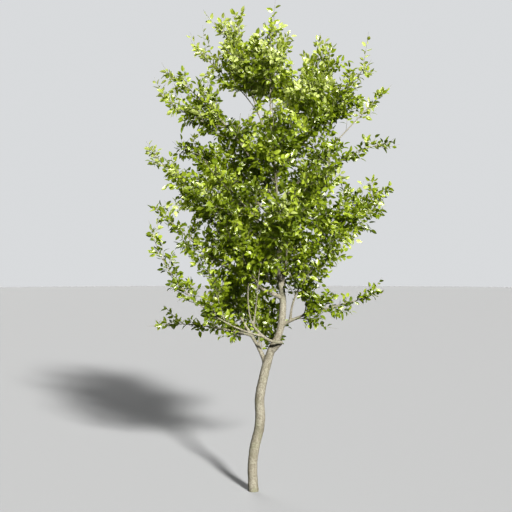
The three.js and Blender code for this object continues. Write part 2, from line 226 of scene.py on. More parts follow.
# What a leaf's upper side turns to: its spray's flat side, up, away from the trunk, and any way
FACE_WEIGHT, UP_WEIGHT, OUT_WEIGHT, CHANCE_WEIGHT = 0.25, 0.3, 0.4, 0.8

# Greens from the deepest to the palest, as linear colours. Dealt by place, the deeper ones are painted
# shade and the lighter ones painted light.
LEAF_COLOURS = {
    "deep": (0.056, 0.090, 0.001),
    "shaded": (0.092, 0.138, 0.002),
    "grown": (0.142, 0.200, 0.005),
    "fresh": (0.220, 0.288, 0.022),
    # The palest green has blue added as a painted sheen, on top of the lighter tone of new leaves
    "young": (0.325, 0.388, 0.125),
}
# What makes a spray's green lighter: painted light by how far out and how high it stands, more so at the
# top, so greens far in and low are painted shade; and chance, for the leaves' own spread of tone
CROWN_FOOT, CROWN_HEIGHT, CROWN_RADIUS = 1500, 3500, 1200
TOP_FOOT, TOP_HEIGHT = 3700, 1000
PAINTED_LIGHT_OUT, PAINTED_LIGHT_HIGH, PAINTED_LIGHT_TOP, TONE_CHANCE, LIGHTNESS_LEAST = 0.22, 0.10, 0.55, 0.72, 0.30

# Spurs: smaller limbs that fill the masses out, by the same values as the limbs
SPURS = {
    "right_riser": spec(
        0.14, (545, -50, 2080), (12, 84), 21, 0.5, 170,
        on="right_low", turns=(346, 20), bend=0.5, leafage=0.6,
    ),
    "right_skirt": spec(0.15, (650, -140, 1790), (6, 10), 11, 0, 150, on="right_low", leafage=0.85),
    "back_inner": spec(1960, (30, 400, 2420), (40, 62), 16, 0.15, 300, leafage=1.1),
    "low_skirt": spec(0.12, (90, 330, 1640), (20, 30), 14, 0.1, 190, on="low_back", leafage=0.8),
    "left_fill": spec(0.4, (-570, 20, 3500), (20, 50), 13, 0.1, 210, on="left_upper_back", leafage=0.9),
    "left_edge": spec(0.55, (-890, -180, 4010), (6, 40), 11, 0.15, 150, on="left_top_sweep", leafage=0.85),
    "left_skirt": spec(0.02, (-210, 195, 1610), (4, 16), 10, 0, 110, on="low_left_back", leafage=0.75),
    "left_riser": spec(0.26, (-470, -190, 2270), (64, 48), 11, 0.25, 150, on="left_long", leafage=0.75),
    "right_tip": spec(0.55, (1300, 150, 2900), (14, 12), 10, 0.1, 140, on="right_mid", leafage=0.85),
    "peak_side": spec(0.58, (-330, 80, 4820), (56, 70), 9, 0.1, 140, on="top_peak", leafage=0.8),
}

UP = Vector((0, 0, 1))
RIGHT = Vector((1, 0, 0))
NEAR_UPRIGHT = 0.95
WORD = 2**32


def seeded(seed):
    """Repeatable random numbers from 0 to 1."""
    mask = WORD - 1
    state = seed & mask

    def draw():
        nonlocal state
        state = (state + 0x6D2B79F5) & mask
        mixed = ((state ^ (state >> 15)) * (state | 1)) & mask
        mixed ^= (mixed + (mixed ^ (mixed >> 7)) * (mixed | 61)) & mask
        return (mixed ^ (mixed >> 14)) / WORD

    return draw


def new_seed(random):
    return int(random() * WORD)


def swing(width, random):
    """A random value about 0, up to half the width to either side."""
    return width * (random() - 0.5)


def heading(turn, lift):
    """A unit vector by compass heading and steepness, in degrees."""
    turn, lift = math.radians(turn), math.radians(lift)
    return Vector((math.cos(lift) * math.cos(turn), math.cos(lift) * math.sin(turn), math.sin(lift)))


def side_of(axis, turn):
    """The vector square to an axis, turned round it from its level side."""
    level = axis.cross(RIGHT if abs(axis.z) > NEAR_UPRIGHT else UP).normalized()
    over = level.cross(axis)
    return level * math.cos(math.radians(turn)) + over * math.sin(math.radians(turn))


def off_axis(along, tilt, turn):
    """A direction off an axis, by a tilt from it and a turn round it, in degrees."""
    tilt = math.radians(tilt)
    return (along * math.cos(tilt) + side_of(along, turn) * math.sin(tilt)).normalized()


# Lines through space, by a share from 0 to 1

TANGENT_STEP = 0.001
LENGTH_STEPS = 100


class Line:
    def tangent(self, share):
        low, high = max(share - TANGENT_STEP, 0), min(share + TANGENT_STEP, 1)
        return (self.point(high) - self.point(low)).normalized()

    def length(self):
        points = [self.point(i / LENGTH_STEPS) for i in range(LENGTH_STEPS + 1)]
        return sum((b - a).length for a, b in zip(points, points[1:]))

    def radius(self, share):
        return self.diameter(share) / 2


def trunk_value(height, key):
    """A smooth value through the trunk's bends: a cubic between neighbours with averaged slopes."""
    last = len(TRUNK_BENDS) - 1
    i = 0
    while i < last - 1 and TRUNK_BENDS[i + 1][HEIGHT] < height:
        i += 1

    def slope(k):
        a, b = TRUNK_BENDS[max(k - 1, 0)], TRUNK_BENDS[min(k + 1, last)]
        return (b[key] - a[key]) / (b[HEIGHT] - a[HEIGHT])

    low, high = TRUNK_BENDS[i], TRUNK_BENDS[i + 1]
    span = high[HEIGHT] - low[HEIGHT]
    t = (height - low[HEIGHT]) / span
    values = low[key] * (1 + 2 * t) * (1 - t) ** 2 + high[key] * t * t * (3 - 2 * t)
    return values + span * (slope(i) * t * (1 - t) ** 2 + slope(i + 1) * t * t * (t - 1))


class TrunkLine(Line):
    low, high = TRUNK_BENDS[0][HEIGHT], TRUNK_BENDS[-1][HEIGHT]

    def share(self, height):
        return (height - self.low) / (self.high - self.low)

    def height(self, share):
        return self.low + share * (self.high - self.low)

    def point(self, share):
        height = self.height(share)
        return Vector((trunk_value(height, RIGHT_SWAY), trunk_value(height, BACK_SWAY), height))

    def diameter(self, share):
        return trunk_value(self.height(share), DIAMETER)

    def beside(self, place):
        """The point of the trunk's axis level with a place, or its tip for a higher one."""
        return self.point(min(self.share(place.z), 1))


class Bow(Line):
    """A cubic Bezier curve."""

    def __init__(self, *handles):
        self.handles = handles

    def point(self, share):
        a, b, c, d = self.handles
        rest = 1 - share
        return a * rest**3 + b * (3 * rest * rest * share) + c * (3 * rest * share**2) + d * share**3


def swept(start, end):
    """A twig's line, which hangs a little before it turns up."""
    sag = UP * (TWIG_SWEEP * (end - start).length)
    return Bow(start, start.lerp(end, 0.33) - sag, start.lerp(end, 0.67) - sag, end)


class Stretch(Line):
    """Part of another line, from one share to another."""

    def __init__(self, whole, low, high):
        self.whole, self.low, self.high = whole, low, high

    def point(self, share):
        return self.whole.point(self.low + (self.high - self.low) * share)


class Limb(Bow):
    """A limb from its foot in the parent's axis to its tip, with its taper."""

    def __init__(
        self, parent, foot_share, tip, lifts, girth, bare, spread,
        turns=None, bend=BEND_SHARE, end=TIP_DIAMETER, leafage=1,
    ):
        self.girth, self.end, self.bare, self.spread, self.leafage = girth, end, bare, spread, leafage
        foot, tip = parent.point(foot_share), Vector(tip)
        straight = math.degrees(math.atan2(tip.y - foot.y, tip.x - foot.x))
        leave, arrive = turns or (straight, straight)
        first = parent.tangent(1) if foot_share == 1 else heading(leave, lifts[0])
        reach = (tip - foot).length * bend
        super().__init__(foot, foot + first * reach, tip - heading(arrive, lifts[1]) * reach, tip)
        self.foot_radius = parent.radius(foot_share) if foot_share < 1 else 0

    def diameter(self, share):
        return self.girth + (self.end - self.girth) * share**LIMB_TAPER


def grow_limbs(trunk):
    limbs = {}
    for name, given in (LIMBS | SPURS).items():
        shape = dict(given)
        on, at = shape.pop("on", None), shape.pop("at")
        parent = limbs[on] if on else trunk
        limbs[name] = Limb(parent, at if on else trunk.share(at), **shape)
    return limbs


# Foliage


def grow_twigs(stem, spread, spacing, random):
    """Twigs spaced along the stem, each turned by the golden angle from the last."""
    count = max(3, round(stem.length() / spacing))
    twigs = []
    for i in range(count):
        share = (i + 0.7) / (count + 0.4)
        turn = i * GOLDEN_TURN + swing(50, random)
        tilt = TWIG_TILT + swing(24, random)
        length = spread * (1 - TWIG_TAPER * share) * (0.75 + 0.5 * random())
        direction = (off_axis(stem.tangent(share), tilt, turn) + UP * TWIG_UPTURN).normalized()
        foot = stem.point(share)
        twigs.append((share, swept(foot, foot + direction * length)))
    return twigs


# A leafy side shoot: its foot, its direction, the way its flat side faces, and its length
Spray = namedtuple("Spray", "foot direction face length")


def grow_sprays(line, vigour, random):
    """Leaf sprays alternate along a twig, and one at its tip."""
    count = max(1, round(line.length() / SPRAY_SPACING))
    sprays = []
    for i in range(count + 1):
        at_tip = i == count
        share = TIP_SPRAY_AT if at_tip else (i + 0.75) / (count + 0.25)
        turn = (180 if i % 2 else 0) + swing(60, random)
        tilt = (0 if at_tip else SPRAY_TILT) + swing(30, random)
        size = (TIP_SPRAY if at_tip else 1) * (0.8 + 0.4 * random())
        roll = swing(180, random)
        direction = off_axis(line.tangent(share), tilt, turn)
        face = side_of(direction, 90 + roll)
        sprays.append(Spray(line.point(share), direction, face, SPRAY_LENGTH * size * vigour))
    return sprays


class Leaf:
    """A leaf's foot, its direction, its size, and its upper side's normal, turned to the light."""

    def __init__(self, foot, direction, face, axis, random):
        outward = Vector((foot.x - axis.x, foot.y - axis.y, 0)).normalized()
        to_light = face * FACE_WEIGHT + UP * UP_WEIGHT + outward * OUT_WEIGHT
        normal = to_light + random_direction(random) * CHANCE_WEIGHT
        self.foot, self.direction = foot, direction
        self.normal = (normal - direction * normal.dot(direction)).normalized()
        self.size = SMALLEST_LEAF + LEAF_VARIETY * random()

    def middle(self):
        return self.foot + self.direction * (LEAF_STALK + LEAF_LENGTH / 2) * self.size

    def tip(self):
        return self.foot + self.direction * (LEAF_STALK + LEAF_LENGTH) * self.size


def random_direction(random):
    lift = math.degrees(math.asin(2 * random() - 1))
    return heading(360 * random(), lift)


def side_shoots(spray, random):
    """A spray's own shoot and the finer ones on it, shorter towards its tip."""
    shoots = [spray]
    first_turn = 360 * random()
    count = int(max(spray.length - LEAF_LENGTH, 0) / SHOOT_SPACING)
    for i in range(count):
        share = (i + 0.6) / (count + 0.5) * SHOOT_REACH
        turn = first_turn + i * GOLDEN_TURN
        direction = off_axis(spray.direction, SPRAY_TILT + swing(24, random), turn)
        direction = (direction + UP * TWIG_UPTURN * SHOOT_UPTURN).normalized()
        length = spray.length * (SHOOT_LENGTH - SHOOT_TAPER * share) * (0.8 + 0.4 * random())
        face = side_of(direction, 90 + swing(180, random))
        shoots.append(Spray(spray.foot + spray.direction * spray.length * share, direction, face, length))
    return shoots


def spray_leaves(spray, trunk, random):
    """The stalk of a spray and its leaves, alternate along it, with one at its tip."""
    length = max(spray.length - LEAF_LENGTH, STALK_LEAST * spray.length)
    end = spray.foot + spray.direction * length
    bow = (UP * STALK_RISE + random_direction(random)) * (STALK_BOW * length)
    middle = spray.foot.lerp(end, 0.5) + bow
    stalk = Bow(spray.foot, spray.foot.lerp(middle, 0.67), end.lerp(middle, 0.67), end)
    across = spray.face.cross(spray.direction)
    axis = trunk.beside(spray.foot)
    count = max(2, round(length / LEAF_SPACING))
    leaves = []
    for i in range(count + 1):
        share = (i + 0.6) / (count + 0.6)
        along = stalk.tangent(share)
        side = across * (1 if i % 2 else -1) + spray.face * swing(0.7, random)
        tilt = math.radians(LEAF_TILT + swing(26, random)) if i < count else 0.2 * random()
        direction = (along * math.cos(tilt) + side * math.sin(tilt) - UP * LEAF_DROOP).normalized()
        leaves.append(Leaf(stalk.point(share), direction, spray.face, axis, random))
    return stalk, leaves


ROOM_STEPS = 200


def bare_wood(trunk, limbs):
    """Every line of bare wood, with the share of it that is bare."""
    return [(trunk, 1), *((limb, limb.bare) for limb in limbs.values())]


def point_tree(points):
    """A search tree for the nearest of many points."""
    tree = KDTree(len(points))
    for i, point in enumerate(points):
        tree.insert(point, i)
    tree.balance()
    return tree


class Foliage:
    """All that grows on past the boughs: stems, twigs, stalks, whips, and leaves by colour."""

    def __init__(self, trunk, limbs):
        self.trunk, self.limbs = trunk, limbs
        self.stems, self.twigs, self.stalks, self.whips = [], [], [], []
        self.leaves = {colour: [] for colour in LEAF_COLOURS}
        points, self.wood_radii = [], []
        for line, bare in bare_wood(trunk, limbs):
            for i in range(ROOM_STEPS + 1):
                points.append(line.point(bare * i / ROOM_STEPS))
                self.wood_radii.append(line.radius(bare * i / ROOM_STEPS))
        self.wood = point_tree(points)

    def in_opening(self, place):
        return any(
            math.hypot((place.x - right) / half_width, (place.z - up) / half_height) < 1 and place.y < back
            for right, up, half_width, half_height, back in OPENINGS
        )

    def in_reach(self, place):
        return all(low <= v * MM <= high for low, v, high in zip(cad_box[0], place, cad_box[1]))

    def has_room(self, leaf):
        middle = leaf.middle()
        _, index, distance = self.wood.find(middle)
        clear = distance > self.wood_radii[index] + WOOD_CLEARANCE
        return clear and self.in_reach(leaf.tip()) and not self.in_opening(middle)

    def colour_for(self, place):
        """Lighter greens high, far out and at the top are painted light, deeper ones low and far in
        painted shade; chance spreads the tone.
        """
        axis = self.trunk.beside(place)
        out = math.hypot(place.x - axis.x, place.y - axis.y) / CROWN_RADIUS
        high = (place.z - CROWN_FOOT) / CROWN_HEIGHT
        top = max(place.z - TOP_FOOT, 0) / TOP_HEIGHT
        # Painted light and shade: the lighter greens go out, up and to the top, the deeper ones in and
        # down
        painted_light = PAINTED_LIGHT_OUT * out + PAINTED_LIGHT_HIGH * high + PAINTED_LIGHT_TOP * top
        lightness = painted_light + swing(TONE_CHANCE, self.fine) + LIGHTNESS_LEAST
        names = list(LEAF_COLOURS)
        return names[min(max(int(lightness * len(names)), 0), len(names) - 1)]

    def add_leaves(self, leaves, colour):
        self.leaves[colour] += [leaf for leaf in leaves if self.has_room(leaf)]

    def add_single_leaves(self, line, spacing, low=0, high=1):
        """Single leaves along part of a stem, a twig or a whip."""
        part = Stretch(line, low, high)
        count = round(part.length() / spacing)
        leaves = []
        for i in range(count):
            share = (i + 0.5 + swing(0.4, self.fine)) / count
            direction = off_axis(part.tangent(share), LEAF_TILT + swing(30, self.fine), i * GOLDEN_TURN)
            foot = part.point(share)
            leaves.append(Leaf(foot, direction, direction, self.trunk.beside(foot), self.fine))
        self.add_leaves(leaves, self.colour_for(line.point(0.5)))

    def add_sprays(self, sprays):
        for spray in sprays:
            colour = self.colour_for(spray.foot)
            for shoot in side_shoots(spray, self.fine):
                stalk, leaves = spray_leaves(shoot, self.trunk, self.fine)
                if self.in_opening(stalk.point(FELT_AT)):
                    continue
                self.stalks.append(stalk)
                self.add_leaves(leaves, colour)

    def add_bare_end(self, line, longest):
        """The leafless tip of a twig or a stem, which goes on from it and turns up."""
        direction = line.tangent(1) + UP * BARE_UPTURN + random_direction(self.fine) * BARE_STRAY
        tip = line.point(1) + direction.normalized() * longest * (0.55 + 0.45 * self.fine())
        if self.in_reach(tip) and not self.in_opening(tip):
            self.whips.append(swept(line.point(1), tip))

    def grow(self):
        masses = [limb for limb in self.limbs.values() if limb.bare < 1]
        for index, limb in enumerate(masses):
            random, self.fine = seeded(SEED + index), seeded(FINE_SEED + index)
            stem = Stretch(limb, limb.bare, 1)
            self.stems.append(limb)
            self.add_bare_end(limb, BARE_END)
            twigs = grow_twigs(stem, limb.spread, TWIG_SPACING, random)
            tip_vigour = limb.leafage * (1 - SPRAY_TAPER)
            self.add_sprays(grow_sprays(Stretch(stem, LEAFY_END, 1), tip_vigour, random))
            self.add_single_leaves(stem, TWIG_LEAF_SPACING)
            self.add_twigs(limb, twigs, [new_seed(random) for _ in twigs])
            inner = Stretch(stem, 0, FINE_REACH)
            finer = grow_twigs(inner, limb.spread * FINE_SPREAD, FINE_TWIG_SPACING, self.fine)
            self.add_twigs(limb, finer, [new_seed(self.fine) for _ in finer])
            self.add_whips(stem)

    def add_whips(self, stem):
        """Slim whips that stand out from a stem's outer part, each with single leaves and a bare tip."""
        whips = []
        for i in range(WHIPS_PER_STEM):
            share = WHIP_FROM + (1 - WHIP_FROM) * (i + self.fine()) / WHIPS_PER_STEM
            turn = i * GOLDEN_TURN + 360 * self.fine()
            tilt = WHIP_TILT + swing(20, self.fine)
            direction = (off_axis(stem.tangent(share), tilt, turn) + UP * TWIG_UPTURN).normalized()
            foot = stem.point(share)
            whips.append(swept(foot, foot + direction * WHIP_LENGTH * (0.7 + 0.6 * self.fine())))
        for whip in whips:
            if not self.in_reach(whip.point(1)) or self.in_opening(whip.point(FELT_AT)):
                continue
            self.whips.append(whip)
            self.add_single_leaves(whip, WHIP_LEAF_SPACING, *WHIP_LEAVES)

    def add_twigs(self, limb, twigs, seeds):
        for (share, twig), seed in zip(twigs, seeds):
            vigour = limb.leafage * (1 - SPRAY_TAPER * share * share)
            if self.in_opening(twig.point(FELT_AT)):
                continue
            self.twigs.append(twig)
            if self.fine() < BARE_TWIG_SHARE:
                self.add_bare_end(twig, BARE_END * BARE_TWIG_END)
            self.add_sprays(grow_sprays(twig, vigour, seeded(seed)))
            self.add_single_leaves(twig, TWIG_LEAF_SPACING, *TWIG_LEAVES)


# Materials. Colours are linear.

VEIN_GAIN, VEIN_SHIFT = 1.5, (0.020, 0.020, 0.004)
UNDERSIDE_GAIN, UNDERSIDE_SHIFT = 0.75, (0.035, 0.045, 0.004)
GLOW_GAIN = (1.7, 1.75, 0.4)
SHINE_THROUGH = 0.32  # the share of a leaf's look that is light shining through it
BARK_TONES = dict(
    Pale=(0.222, 0.216, 0.184, 1), Brown=(0.072, 0.062, 0.042, 1), Moss=(0.128, 0.146, 0.088, 1)
)
TWIG_TONES = dict(
    Pale=(0.22, 0.215, 0.18, 1), Brown=(0.11, 0.095, 0.07, 1), Moss=(0.145, 0.155, 0.10, 1)
)


class Nodes:
    """A node tree with short ways to add nodes and to set or link their inputs."""

    def __init__(self, tree):
        self.tree = tree

    def feed(self, node, inputs):
        """Sets or links a node's inputs."""
        for key, value in inputs.items():
            if isinstance(value, bpy.types.NodeSocket):
                self.tree.links.new(value, node.inputs[key])
            else:
                node.inputs[key].default_value = value

    def add(self, kind, inputs=None, **settings):
        node = self.tree.nodes.new(kind)
        for name, value in settings.items():
            setattr(node, name, value)
        self.feed(node, inputs or {})
        return node

    def result(self, kind, inputs=None, **settings):
        """The first output of a new node."""
        return self.add(kind, inputs, **settings).outputs[0]

    def math(self, operation, *values, clamp=False):
        return self.result("ShaderNodeMath", dict(enumerate(values)), operation=operation, use_clamp=clamp)

    def times(self, a, b):
        return self.math("MULTIPLY", a, b)

    def step(self, value, low, high):
        """A smooth step from 0 at low to 1 at high."""
        inputs = {"Value": value, "From Min": low, "From Max": high}
        return self.result("ShaderNodeMapRange", inputs, interpolation_type="SMOOTHSTEP")

    def mix(self, factor, a, b):
        return self.add("ShaderNodeMix", {0: factor, 6: a, 7: b}, data_type="RGBA").outputs[2]

    def bump(self, height, distance, strength):
        inputs = {"Height": height, "Distance": distance, "Strength": strength}
        return self.result("ShaderNodeBump", inputs)

    def group(self, name, inputs=None):
        return self.add("ShaderNodeGroup", inputs, node_tree=bpy.data.node_groups[name]).outputs


def new_group(name, kind, inputs, outputs):
    """An empty node group with named sockets: its helper, its given sockets and its output node."""
    tree = bpy.data.node_groups.new(name, kind)
    for direction, sockets in (("INPUT", inputs), ("OUTPUT", outputs)):
        for socket_name, socket_type in sockets.items():
            tree.interface.new_socket(socket_name, in_out=direction, socket_type=socket_type)
    nodes = Nodes(tree)
    return nodes, nodes.add("NodeGroupInput").outputs, nodes.add("NodeGroupOutput")


def make_bark_group():
    """Mottled bark: pale and brown patches, a tinge of moss, level breathing marks and a fine grain."""
    colour, value = "NodeSocketColor", "NodeSocketFloat"
    nodes, given, made = new_group(
        "Bark mottle",
        "ShaderNodeTree",
        {"Pale": colour, "Brown": colour, "Moss": colour, "Mark strength": value},
        {"Colour": colour, "Roughness": value, "Height": value},
    )
    place = nodes.add("ShaderNodeTexCoord").outputs["Object"]

    def noise_at(scale, detail, stretch=(1, 1, 1)):
        mapped = nodes.result("ShaderNodeMapping", {"Vector": place, "Scale": stretch})
        inputs = {"Vector": mapped, "Scale": scale, "Detail": detail, "Roughness": 0.6}
        return nodes.result("ShaderNodeTexNoise", inputs)

    patches = nodes.step(noise_at(9, 6), 0.42, 0.66)
    streaks = nodes.step(noise_at(34, 4, (1, 1, 0.16)), 0.42, 0.7)
    moss = nodes.step(noise_at(5, 5), 0.46, 0.66)
    marks = nodes.step(noise_at(26, 2, (1, 1, 9)), 0.6, 0.68)
    grain = noise_at(84, 3)
    worn = nodes.math("MULTIPLY", nodes.math("ADD", patches, streaks), 0.36, clamp=True)
    tone = nodes.mix(worn, given["Pale"], given["Brown"])
    tone = nodes.mix(nodes.times(moss, 0.55), tone, given["Moss"])
    tone = nodes.mix(nodes.times(marks, given["Mark strength"]), tone, given["Brown"])
    speckle = nodes.times(nodes.step(grain, 0.46, 0.58), 0.62)
    relief = nodes.math("MULTIPLY_ADD", grain, 0.35, nodes.times(marks, 0.5))
    nodes.feed(made, {
        "Colour": nodes.mix(speckle, tone, given["Brown"]),
        "Roughness": nodes.math("MULTIPLY_ADD", patches, -0.12, 0.88),
        "Height": nodes.math("MULTIPLY_ADD", patches, -0.4, relief),
    })


def make_leaf_group():
    """Midrib and side veins from the leaf's own map: across from edge to edge, and along to the tip."""
    value = "NodeSocketFloat"
    nodes, _, made = new_group("Leaf veins", "ShaderNodeTree", {}, {"Vein": value, "Height": value})
    spot = nodes.result("ShaderNodeUVMap", uv_map="leaf")
    split = nodes.add("ShaderNodeSeparateXYZ", {0: spot}).outputs
    aside = nodes.times(nodes.math("ABSOLUTE", nodes.math("SUBTRACT", split["X"], 0.5)), 2.0)
    midrib = nodes.math("SUBTRACT", 1.0, nodes.step(aside, 0.03, 0.14))
    slanted = nodes.math("SUBTRACT", nodes.times(split["Y"], 8.0), nodes.times(aside, 1.9))
    ripple = nodes.math("PINGPONG", slanted, 0.5)
    side_veins = nodes.times(nodes.math("SUBTRACT", 1.0, nodes.step(ripple, 0.03, 0.16)), 0.6)
    veins = nodes.math("MAXIMUM", midrib, side_veins)
    relief = nodes.math("MULTIPLY_ADD", ripple, 0.8, nodes.times(veins, -0.6))
    nodes.feed(made, {"Vein": veins, "Height": relief})


def new_material(name):
    material = bpy.data.materials.new(name)
    material.use_nodes = True
    return material, Nodes(material.node_tree), material.node_tree.nodes["Principled BSDF"]


def bark_material(name, tones, marks, relief):
    material, nodes, shader = new_material(name)
    mottle = nodes.group("Bark mottle", {**tones, "Mark strength": marks})
    nodes.feed(shader, {
        "Base Color": mottle["Colour"],
        "Roughness": mottle["Roughness"],
        "Normal": nodes.bump(mottle["Height"], relief, 0.8),
        "Specular IOR Level": 0.3,
    })
    return material


def leaf_material(name, colour):
    """A green upper side with paler veins, a duller underside, and light that shines through."""
    material, nodes, shader = new_material(name)
    green = Vector(colour)
    vein_colour = (*(green * VEIN_GAIN + Vector(VEIN_SHIFT)), 1)
    underside = (*(green * UNDERSIDE_GAIN + Vector(UNDERSIDE_SHIFT)), 1)
    glow = (*(green * Vector(GLOW_GAIN)), 1)
    veins = nodes.group("Leaf veins")
    upper = nodes.mix(veins["Vein"], (*colour, 1), vein_colour)
    behind = nodes.add("ShaderNodeNewGeometry").outputs["Backfacing"]
    nodes.feed(shader, {
        "Base Color": nodes.mix(behind, upper, underside),
        "Roughness": 0.33,
        "Normal": nodes.bump(veins["Height"], 0.0012, 0.5),
        "Specular IOR Level": 1.0,
    })
    through = nodes.result("ShaderNodeBsdfTranslucent", {"Color": glow})
    both = nodes.result("ShaderNodeMixShader", {0: SHINE_THROUGH, 1: shader.outputs[0], 2: through})
    nodes.feed(nodes.tree.nodes["Material Output"], {"Surface": both})
    return material


# Meshes


def mesh_from(bm, name):
    mesh = bpy.data.meshes.new(name)
    bm.to_mesh(mesh)
    bm.free()
    return mesh


def add_object(name, mesh):
    piece = bpy.data.objects.new(name, mesh)
    bpy.context.scene.collection.objects.link(piece)
    return piece


def plain_mesh(source, name):
    """The object's evaluated shape as a plain mesh, in place of the object and its modifiers."""
    bpy.context.view_layer.update()
    depsgraph = bpy.context.evaluated_depsgraph_get()
    mesh = bpy.data.meshes.new_from_object(source.evaluated_get(depsgraph))
    bpy.data.objects.remove(source)
    mesh.name = name
    return mesh


def grow_piece(name, points, edges, attributes, group, inputs):
    """What a geometry tree grows on points and edges, by their attributes and by its named inputs."""
    mesh = bpy.data.meshes.new(name + "_layout")
    mesh.from_pydata(points, edges, [])
    for attribute, (kind, values) in attributes.items():
        mesh.attributes.new(attribute, kind, "POINT").data.foreach_set("value", values)
    layout = add_object(name + "_layout", mesh)
    growth = layout.modifiers.new("Growth", "NODES")
    growth.node_group = bpy.data.node_groups[group]
    sockets = {item.name: item.identifier for item in growth.node_group.interface.items_tree}
    for socket_name, value in inputs.items():
        growth[sockets[socket_name]] = value
    return add_object(name, plain_mesh(layout, name))


# Bark

BARK_VOXEL = 0.0048
SMOOTH_ROUNDS = 6
TRUNK_SIDES, BOUGH_SIDES = 40, 20
WOOD_STEP = 18
COLLAR_FROM = 0.8  # where a bough's collar begins to thin, as a share of its parent's radius
COLLAR_SWELL = 0.4  # how much a bough swells where it leaves its parent
COLLAR_REACH = 1.1  # how far the swelling reaches past the parent's bark, in the bough's own diameters
SMOOTHED_AWAY = 0.9  # what smoothing takes off a bough's radius
TRUNK_SMOOTHED_AWAY = 0.36
RELIEF_STEPS = 300
FULL_RELIEF_RADIUS = 50  # wood this thick has the deepest relief


def add_tube(bm, line, radius_at, sides, low=0, high=1):
    """A closed tube along a line, with rings that turn as little as they can."""
    stretch = Stretch(line, low, high)
    steps = max(4, round(stretch.length() / WOOD_STEP))
    normal = side_of(stretch.tangent(0), 0)
    rings = []
    for i in range(steps + 1):
        along = stretch.tangent(i / steps)
        normal = (normal - along * normal.dot(along)).normalized()
        over = along.cross(normal)
        centre, radius = stretch.point(i / steps), radius_at(low + (high - low) * i / steps)
        ring = []
        for k in range(sides):
            turn = 2 * math.pi * k / sides
            spoke = normal * math.cos(turn) + over * math.sin(turn)
            ring.append(bm.verts.new((centre + spoke * radius) * MM))
        rings.append(ring)
    for a, b in zip(rings, rings[1:]):
        for k in range(sides):
            bm.faces.new((a[k], a[(k + 1) % sides], b[(k + 1) % sides], b[k]))
    bm.faces.new(rings[0][::-1])
    bm.faces.new(rings[-1])


def bough_radius(limb):
    """The bough's radius with the collar at its foot."""
    length = limb.length()

    def radius_at(share):
        past_bark = max(share * length - limb.foot_radius * COLLAR_FROM, 0)
        collar = COLLAR_SWELL if limb.foot_radius else 0
        swell = collar * math.exp(-past_bark / (limb.girth * COLLAR_REACH))
        return limb.radius(share) * (1 + swell) + SMOOTHED_AWAY

    return radius_at


def wood_axis(trunk, limbs):
    """Points along all bare wood, with their direction, the length to them and the radius there."""
    samples = []
    for line, bare in bare_wood(trunk, limbs):
        length = line.length()
        for i in range(RELIEF_STEPS + 1):
            share = bare * i / RELIEF_STEPS
            samples.append((line.point(share), line.tangent(share), share * length, line.radius(share)))
    return samples


def bark_relief(mesh, trunk, limbs):
    """Wrinkles round the limbs, low lumps and swellings, deeper on thicker wood."""
    samples = wood_axis(trunk, limbs)
    tree = point_tree([sample[0] for sample in samples])
    surface = [(vertex.co / MM, vertex.normal.copy()) for vertex in mesh.vertices]
    moved = []
    for place, normal in surface:
        centre, along, travelled, radius = samples[tree.find(place)[1]]
        travelled += (place - centre).dot(along)
        girth = min(radius / FULL_RELIEF_RADIUS, 1)
        lumps = noise.noise(place * 0.012) * 2.6 + noise.noise(place * 0.035) * 1.2
        wander = noise.noise(place * 0.02) * 16
        rings = noise.noise(Vector((travelled + wander, place.x * 0.15, place.y * 0.15)) * 0.07)
        wrinkles = max(rings, 0) ** 1.5 * 2.4
        fine = noise.noise(place * 0.11) * 0.5
        depth = (lumps + wrinkles) * girth + fine * (0.4 + 0.6 * girth)
        moved.extend((place + normal * depth) * MM)
    mesh.vertices.foreach_set("co", moved)
    mesh.update()


def cut_flat(mesh):
    """Cuts the wood off level at the ground and closes the cut."""
    bm = bmesh.new()
    bm.from_mesh(mesh)
    everything = bm.verts[:] + bm.edges[:] + bm.faces[:]
    cut = bmesh.ops.bisect_plane(
        bm, geom=everything, plane_co=(0, 0, 0), plane_no=(0, 0, -1), clear_outer=True, dist=1e-6
    )["geom_cut"]
    bmesh.ops.contextual_create(bm, geom=[e for e in cut if isinstance(e, bmesh.types.BMEdge)])
    bmesh.ops.recalc_face_normals(bm, faces=bm.faces[:])
    bm.to_mesh(mesh)
    bm.free()


def make_bark(trunk, limbs, material):
    """Trunk and boughs grown together into one skin of bark."""
    bm = bmesh.new()
    add_tube(bm, trunk, lambda share: trunk.radius(share) + TRUNK_SMOOTHED_AWAY, TRUNK_SIDES)
    for limb in limbs.values():
        if limb.bare:
            add_tube(bm, limb, bough_radius(limb), BOUGH_SIDES, 0, limb.bare)
    wood = add_object("wood", mesh_from(bm, "wood"))
    skin = wood.modifiers.new("Skin", "REMESH")
    skin.mode, skin.voxel_size = "VOXEL", BARK_VOXEL
    smooth = wood.modifiers.new("Smooth", "SMOOTH")
    smooth.factor, smooth.iterations = 0.5, SMOOTH_ROUNDS
    mesh = plain_mesh(wood, "bark")
    bark_relief(mesh, trunk, limbs)
    cut_flat(mesh)
    mesh.materials.append(material)
    mesh.shade_smooth()
    return add_object("bark", mesh)


# Twigs, as tubes along drawn lines

STEM_STEPS, STEM_SIDES = 26, 10
STEM_OVERLAP = 0.02  # how far a stem starts inside its bough, as a share of the whole limb
TUBES = {  # steps along, sides, and diameters at the foot and the tip
    "twigs": (6, 6, TWIG_FOOT_DIAMETER, TWIG_TIP_DIAMETER),
    "stalks": (5, 5, 3.0, 1.4),
    "whips": (7, 6, 4.6, 1.6),
}


